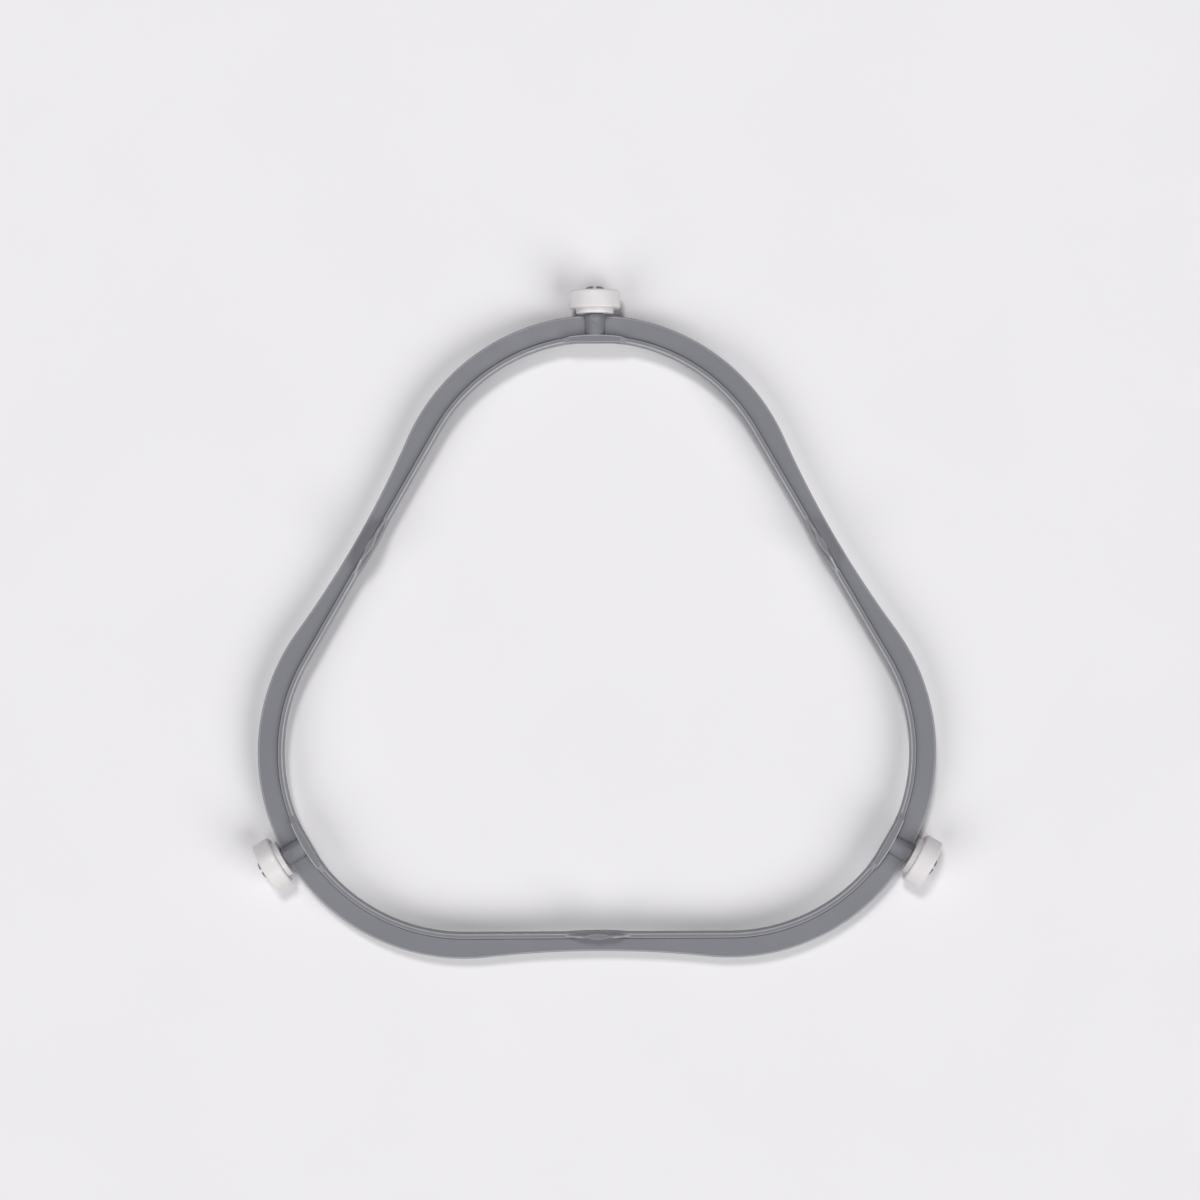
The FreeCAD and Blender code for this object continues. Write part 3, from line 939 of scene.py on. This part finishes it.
    def make_axle(self) -> bpy.types.Object:
        """Makes the back axle: boss, pin and split snap head, with the ejector's mark on the boss.

        Returns:
            The axle as one closed mesh.
        """
        length = self.boss_end - self.boss_root
        work = Workpiece("axle", bpy.ops.mesh.primitive_cylinder_add, vertices=self.boss_facets,
                         radius=self.boss_radius, depth=length, rotation=(pi / 2, 0, 0),
                         location=(0, self.boss_root + length / 2, self.axle_height))
        work.pick(Pick.FACES, lambda face: face.normal.y > FACING)
        bpy.ops.mesh.inset(thickness=self.boss_radius - self.pin_radius)
        work.extrude(Vector((0, self.head_shoulder - self.boss_end, 0)))
        work.extrude(Vector())
        self.widen(work, self.head_shoulder, self.head_radius / self.pin_radius)
        work.extrude(Vector((0, self.head_nose - self.head_shoulder, 0)))
        work.extrude(Vector((0, self.axle_tip - self.head_nose, 0)))
        self.widen(work, self.axle_tip, self.tip_radius / self.head_radius)
        work.close()
        work.round_off(Pick.EDGES, self.hump_rounding, lambda edge: (
            edge.is_manifold and edge.calc_face_angle() > AXLE_SHARP
            and min(point.co.y for point in edge.verts) > self.boss_root + SAME))
        axle = work.finish()
        combine(axle, self.split_cutter(), Combine.CUT)
        combine(axle, self.ejector_cutter(), Combine.CUT)
        return axle

    def widen(self, work: Workpiece, distance: float, factor: float) -> None:
        """Scales the selected end of the axle about its own middle."""
        work.scale(Vector((factor, 1, factor)), Vector((0, distance, self.axle_height)))

    def split_cutter(self) -> bpy.types.Object:
        """Makes the solid that splits the axle into two prongs, with a rounded root."""
        length = self.axle_tip - self.split_root
        place = (0, self.split_root + length, self.axle_height)
        work = Workpiece("split", bpy.ops.mesh.primitive_cube_add, size=1, location=place,
                         scale=(self.split_width, 2 * length, 4 * self.head_radius))
        work.round_off(Pick.EDGES, self.split_rounding, lambda edge: (
            max(point.co.y for point in edge.verts) < self.split_root + SAME
            and abs(edge.verts[0].co.z - edge.verts[1].co.z) > self.head_radius))
        return work.finish()

    def ejector_cutter(self) -> bpy.types.Object:
        """Makes the solid that leaves the ejector's round flat on top of the boss."""
        floor = self.axle_height + self.boss_radius - self.ejector_depth
        height = self.boss_radius
        place = (0, self.boss_end - self.ejector_set, floor + height / 2)
        work = Workpiece("mark", bpy.ops.mesh.primitive_cylinder_add, vertices=self.ejector_facets,
                         radius=self.ejector_radius, depth=height, location=place)
        work.pick(Pick.FACES, lambda face: face.normal.z < -FACING)
        bpy.ops.mesh.inset(thickness=self.ejector_depth / 2)
        work.move(UP * -self.ejector_depth / 6)
        return work.finish()

    def build(self) -> bpy.types.Object:
        """Builds the whole moulding.

        Returns:
            The dressed piece, riding on the ring's body in place of its CAD node.
        """
        band = self.make_band()
        axle = self.make_axle()
        copies = [turned_copy(axle, "axle_copy", corner.turn) for corner in (Corner.LEFT, Corner.RIGHT)]
        for solid in (axle, *copies):
            combine(band, solid, Combine.ADD)
        smooth(band)
        band.data.materials.clear()
        band.data.materials.append(self.finish.material())
        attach(band, self.body)
        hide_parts(self.node)
        return band


@dataclass
class Roller:
    """An off-white roller: round tread, stepped hub, bore and a recess for the snap head."""

    finish: MouldedPlastic
    name: str = "moulded_roller"
    slot: str = "roller_plastic"
    axle_height: float = 0.0075
    hub_face: float = 0.10585
    tread_start: float = 0.10725
    tread_end: float = 0.11265
    recess_floor: float = 0.11185
    bore_radius: float = 0.00228
    recess_radius: float = 0.0034
    hub_radius: float = 0.00545
    tread_radius: float = 0.0075
    tread_rounding: Rounding = Rounding(0.0007, 6)
    small_rounding: Rounding = Rounding(0.0002, 3)
    hub_rounding: Rounding = Rounding(0.0003, 4)
    spin_steps: int = 120

    def make_wheel(self) -> bpy.types.Object:
        """Turns the half profile round the back axle.

        Returns:
            The roller on the back axle as one closed mesh.
        """
        profile = [
            (self.hub_face, self.bore_radius),
            (self.recess_floor, self.bore_radius),
            (self.recess_floor, self.recess_radius),
            (self.tread_end, self.recess_radius),
            (self.tread_end, self.tread_radius),
            (self.tread_start, self.tread_radius),
            (self.tread_start, self.hub_radius),
            (self.hub_face, self.hub_radius),
        ]
        outline = [Vector((0, distance, self.axle_height + radius)) for distance, radius in profile]
        work = Workpiece.from_outline(self.name, outline)
        tread_line = self.axle_height + self.tread_radius
        hub_corner = outline[-1]
        small = [corner for corner in outline[:-1] if corner.z < tread_line - SAME]
        work.round_off(Pick.POINTS, self.tread_rounding, lambda point: (
            abs(point.co.z - tread_line) < SAME))
        work.round_off(Pick.POINTS, self.hub_rounding, lambda point: (
            (point.co - hub_corner).length < SAME))
        work.round_off(Pick.POINTS, self.small_rounding, lambda point: (
            any((point.co - corner).length < SAME for corner in small)))
        bpy.ops.mesh.select_all(action="SELECT")
        work.spin(Vector((0, 0, self.axle_height)), Vector((0, 1, 0)), tau, self.spin_steps)
        work.close()
        return work.finish()

    def build(self) -> list[bpy.types.Object]:
        """Builds the three rollers from one.

        Returns:
            The dressed rollers, each riding on its own body in place of its CAD node.
        """
        wheel = self.make_wheel()
        smooth(wheel)
        wheel.data.materials.clear()
        wheel.data.materials.append(self.finish.material())
        names = [f"{self.name}_{corner.name.lower()}" for corner in Corner]
        copies = [turned_copy(wheel, name, corner.turn) for name, corner in zip(names, Corner)]
        bpy.data.objects.remove(wheel, do_unlink=True)
        for corner, copy in zip(Corner, copies):
            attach(copy, corner.body)
            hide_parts(corner.node)
        return copies


@dataclass(frozen=True)
class Lamp:
    """A soft lamp that points at the ring, so far off that it lights the whole floor evenly.

    Its spread is how wide it looks from the ring, in degrees.
    """

    name: str
    place: tuple[float, float, float]
    spread: float
    strength: float

    def build(self) -> bpy.types.Object:
        """Adds the lamp to the scene.

        Returns:
            The lamp.
        """
        bpy.ops.object.light_add(type="SUN", location=self.place)
        lamp = bpy.context.object
        lamp.name = self.name
        lamp.data.angle = radians(self.spread)
        lamp.data.energy = self.strength
        lamp.rotation_euler = (-Vector(self.place)).to_track_quat("-Z", "Y").to_euler()
        return lamp


@dataclass
class Studio:
    """Pale floor, soft lamps, an even sky and the camera straight over the ring."""

    lamps: Sequence[Lamp]
    floor_size: float = 60.0
    floor_tone: Colour = (0.795, 0.782, 0.802)
    floor_shade: float = 0.985
    floor_cloud: float = 0.05
    floor_roughness: float = 0.7
    floor_gloss: float = 0.2
    sky_level: float = 0.03
    camera_place: tuple[float, float, float] = (0.0011, 0.0220, 1.0)
    camera_roll: float = radians(-0.27)
    camera_near: float = 0.01
    view_width: float = 0.35425

    def build_floor(self) -> bpy.types.Object:
        """Lays the plain pale floor.

        Returns:
            The floor.
        """
        bpy.ops.object.select_all(action="DESELECT")
        bpy.ops.mesh.primitive_plane_add(size=self.floor_size)
        floor = bpy.context.object
        floor.name = "floor"
        board = NodeBoard("floor_paper")
        shade = tuple(self.floor_shade * part for part in self.floor_tone)
        clouds = board.span(board.noise(self.floor_cloud), 0.0, 1.0)
        board.wire(board.blend(clouds, self.floor_tone, shade), "Base Color")
        board.set(Roughness=self.floor_roughness, Specular_IOR_Level=self.floor_gloss)
        floor.data.materials.append(board.material)
        return floor

    def build_sky(self) -> None:
        """Lights the scene evenly from all round."""
        world = bpy.data.worlds.new("sky")
        world.use_nodes = True
        background = world.node_tree.nodes["Background"]
        background.inputs["Color"].default_value = (1.0, 1.0, 1.0, 1.0)
        background.inputs["Strength"].default_value = self.sky_level
        bpy.context.scene.world = world

    def build_camera(self) -> bpy.types.Object:
        """Hangs the camera over the ring, looking straight down with the back roller up.

        Returns:
            The camera.
        """
        bpy.ops.object.camera_add(location=self.camera_place, rotation=(0, 0, self.camera_roll))
        camera = bpy.context.object
        camera.data.sensor_fit = "HORIZONTAL"
        camera.data.lens = camera.data.sensor_width * self.camera_place[2] / self.view_width
        camera.data.clip_start = self.camera_near
        bpy.context.scene.camera = camera
        return camera

    def build(self) -> None:
        """Builds the floor, the light and the camera."""
        self.build_floor()
        self.build_sky()
        for lamp in self.lamps:
            lamp.build()
        self.build_camera()
        bpy.context.scene.view_settings.view_transform = "Standard"


STUDIO_LAMPS = (
    Lamp("lamp_left", (-1.024, -0.640, 1.050), 44, 1.29),
    Lamp("lamp_right", (0.935, -0.704, 1.091), 44, 1.95),
    Lamp("lamp_top", (-0.190, 0.615, 1.465), 11, 1.20),
)

GREY_PLASTIC = MouldedPlastic(
    name="grey_plastic",
    light_tone=(0.206, 0.208, 0.231),
    dark_tone=(0.192, 0.194, 0.216),
    cloud_size=0.020,
    low_roughness=0.40,
    high_roughness=0.48,
    grain_size=0.00035,
    grain_depth=0.000006,
    gloss=0.2,
    # Paler tone for painted highlights, painted reflections and painted fill light
    worn_tone=(0.450, 0.453, 0.470),
    shaded_tone=(0.080, 0.081, 0.090),
)

WHITE_PLASTIC = MouldedPlastic(
    name="white_plastic",
    light_tone=(0.742, 0.719, 0.726),
    dark_tone=(0.702, 0.680, 0.683),
    cloud_size=0.006,
    low_roughness=0.36,
    high_roughness=0.46,
    grain_size=0.0003,
    grain_depth=0.000005,
    subsurface=0.12,
)


def main() -> None:
    """Builds the ring, the rollers and the studio, and reports each piece."""
    logging.basicConfig(level=logging.INFO, format="%(name)s: %(message)s")
    ring = SupportRing(GREY_PLASTIC).build()
    LOG.info("%s: %d faces", ring.name, len(ring.data.polygons))
    for roller in Roller(WHITE_PLASTIC).build():
        LOG.info("%s: %d faces", roller.name, len(roller.data.polygons))
    Studio(STUDIO_LAMPS).build()


if __name__ == "__main__":
    main()
